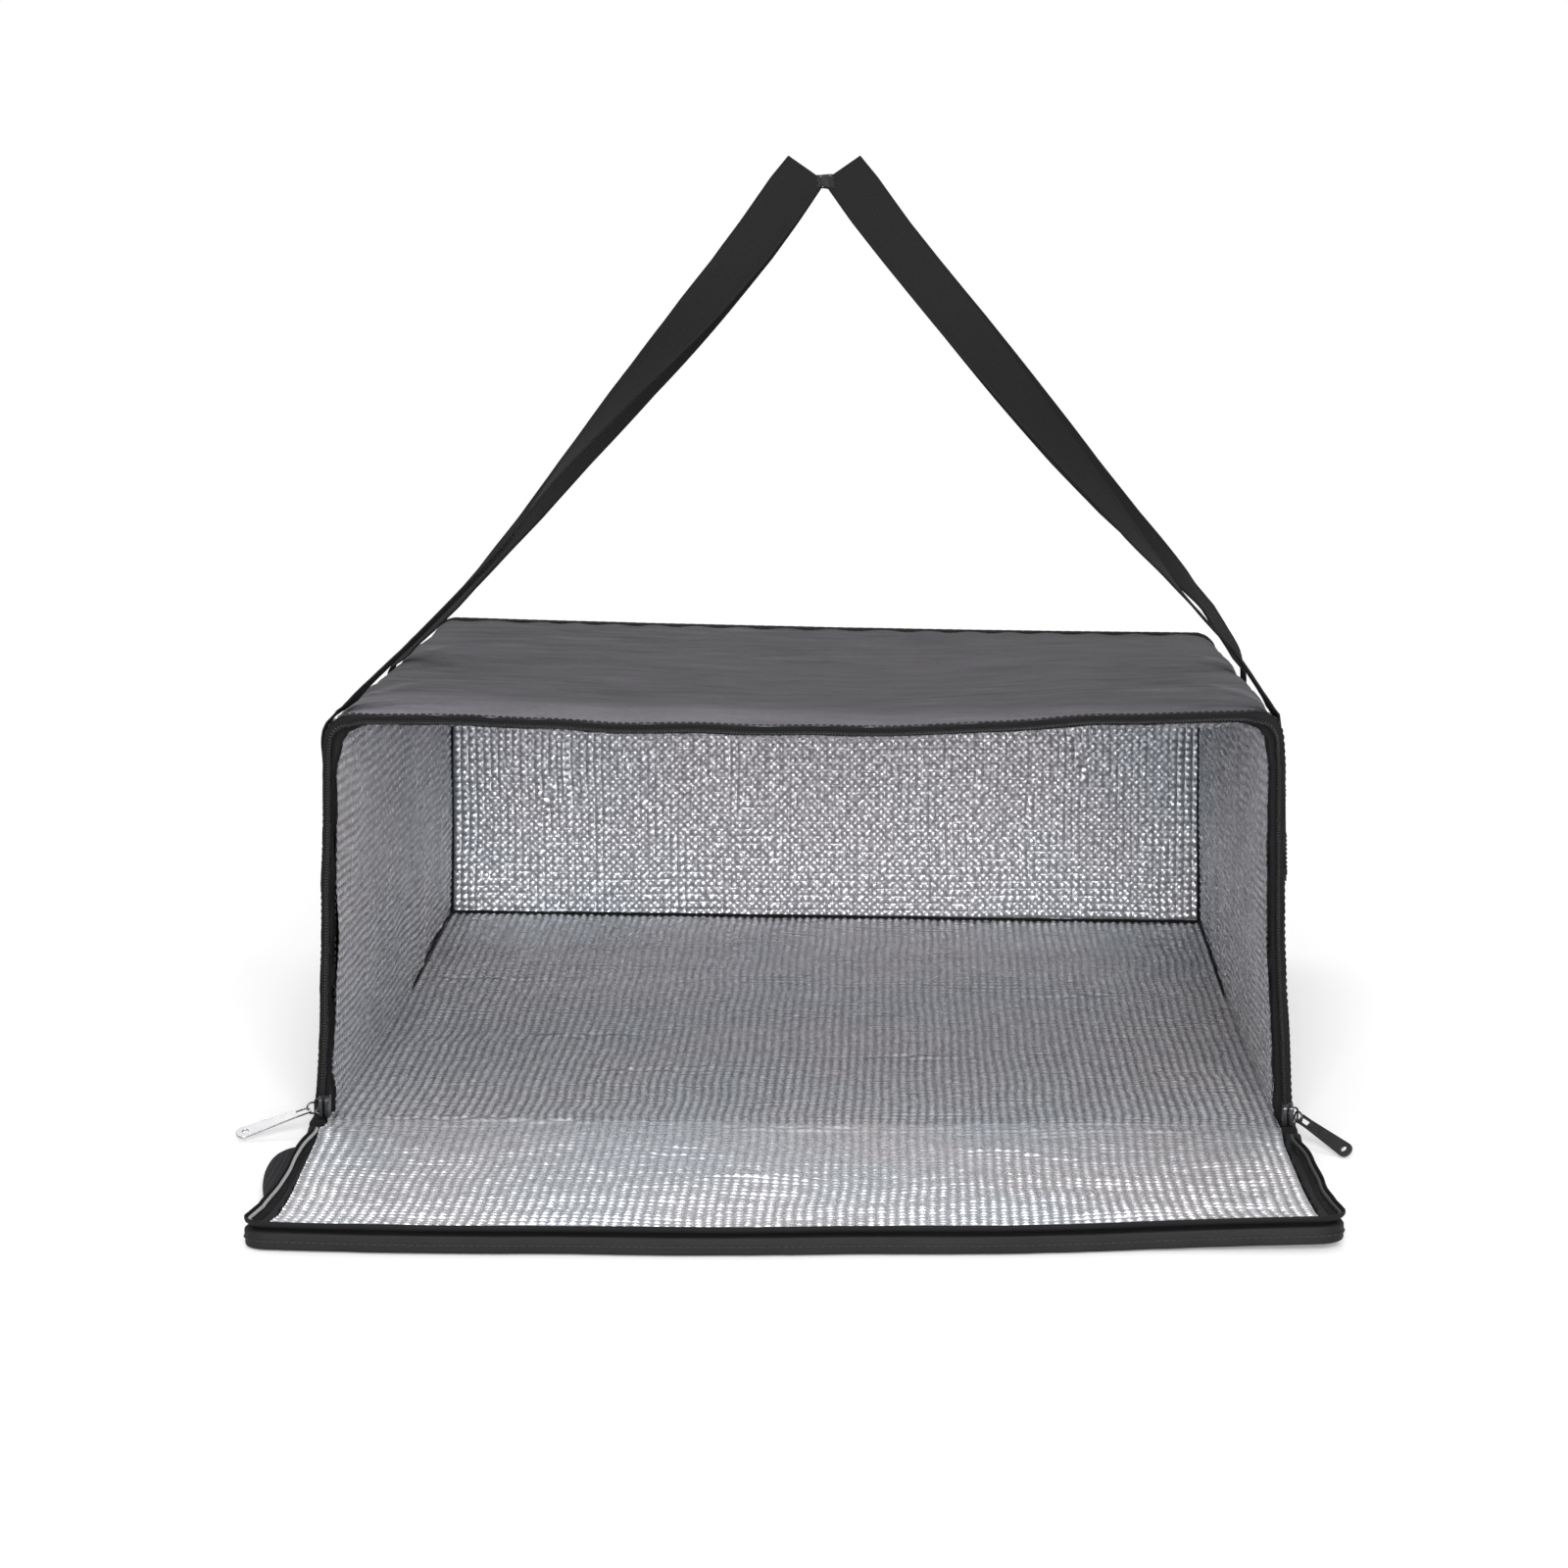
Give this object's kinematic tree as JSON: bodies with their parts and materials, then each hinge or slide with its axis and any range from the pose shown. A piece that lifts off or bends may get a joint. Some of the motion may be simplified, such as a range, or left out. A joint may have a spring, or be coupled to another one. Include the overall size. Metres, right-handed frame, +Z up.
{
  "type": "insulated delivery bag",
  "caption": "Wide, low insulated bag with a foil-lined cavity, a zip-round front flap that folds down to the floor, and webbing carrying straps.",
  "frame": {"origin": "middle of the base's outer face, on the floor that the bag stands on", "axes": "+Z up, +Y from the mouth to the back, +X to the right of someone who faces the mouth"},
  "size_m": [0.596, 0.7636, 0.5273],
  "materials": {
    "shell": "satin charcoal woven fabric",
    "binding": "black woven tape",
    "foam": "closed-cell foam board",
    "liner": "dimpled metallised foil",
    "coil": "grey nylon coil",
    "slider": "black enamel",
    "pull": "grey enamel",
    "webbing": "black woven webbing",
    "thread": "black bar-tack stitching"
  },
  "bodies": {
    "bag": {"shell_sleeve": "shell", "shell_back": "shell", "shell_base": "shell", "foam_top": "foam", "foam_left": "foam", "foam_right": "foam", "foam_base": "foam", "foam_back": "foam", "liner_floor": "liner", "liner_left": "liner", "liner_right": "liner", "liner_top": "liner", "liner_back": "liner", "mouth_binding": "binding", "base_binding_left": "binding", "base_binding_right": "binding", "mouth_zip_tape": "binding", "mouth_zip_coil": "coil", "zip_stop_left": "slider", "zip_stop_right": "slider", "rear_piping": "binding", "strap_anchor_front_left": "webbing", "strap_anchor_front_right": "webbing", "strap_anchor_rear_left": "webbing", "strap_anchor_rear_right": "webbing"},
    "flap": {"flap_shell": "shell", "flap_foam": "foam", "flap_liner": "liner", "flap_binding": "binding", "flap_zip_tape": "binding", "flap_zip_coil": "coil", "flap_tab": "webbing"},
    "front_strap": {"front_strap_left": "webbing", "front_strap_right": "webbing", "front_strap_tack": "thread"},
    "rear_strap": {"rear_strap_left": "webbing", "rear_strap_right": "webbing", "rear_strap_tack": "thread"},
    "slider_left": {"slider_left": "slider"},
    "slider_right": {"slider_right": "slider"},
    "pull_left": {"pull_left": "pull"},
    "pull_right": {"pull_right": "pull"}
  },
  "joints": [
    {"name": "flap_fold", "type": "hinge", "parent": "bag", "child": "flap", "pos_m": [0, -0.2844, 0.0008], "axis": [-1, 0, 0], "range_deg": [0, 90]},
    {"name": "front_strap_swing", "type": "hinge", "parent": "bag", "child": "front_strap", "pos_m": [0, -0.234, 0.21], "axis": [1, 0, 0], "range_deg": [0, 60]},
    {"name": "rear_strap_swing", "type": "hinge", "parent": "bag", "child": "rear_strap", "pos_m": [0, 0.035, 0.21], "axis": [-1, 0, 0], "range_deg": [0, 60]},
    {"name": "slider_left_travel", "type": "slide", "parent": "bag", "child": "slider_left", "axis": [0, 0, 1], "range_m": [0, 0.175]},
    {"name": "slider_right_travel", "type": "slide", "parent": "bag", "child": "slider_right", "axis": [0, 0, 1], "range_m": [0, 0.175]},
    {"name": "pull_left_swing", "type": "hinge", "parent": "slider_left", "child": "pull_left", "pos_m": [-0.25985, -0.2701, 0.0193], "axis": [0, 1, 0], "range_deg": [0, 110]},
    {"name": "pull_right_swing", "type": "hinge", "parent": "slider_right", "child": "pull_right", "pos_m": [0.25985, -0.2701, 0.0193], "axis": [0, -1, 0], "range_deg": [0, 110]}
  ]
}
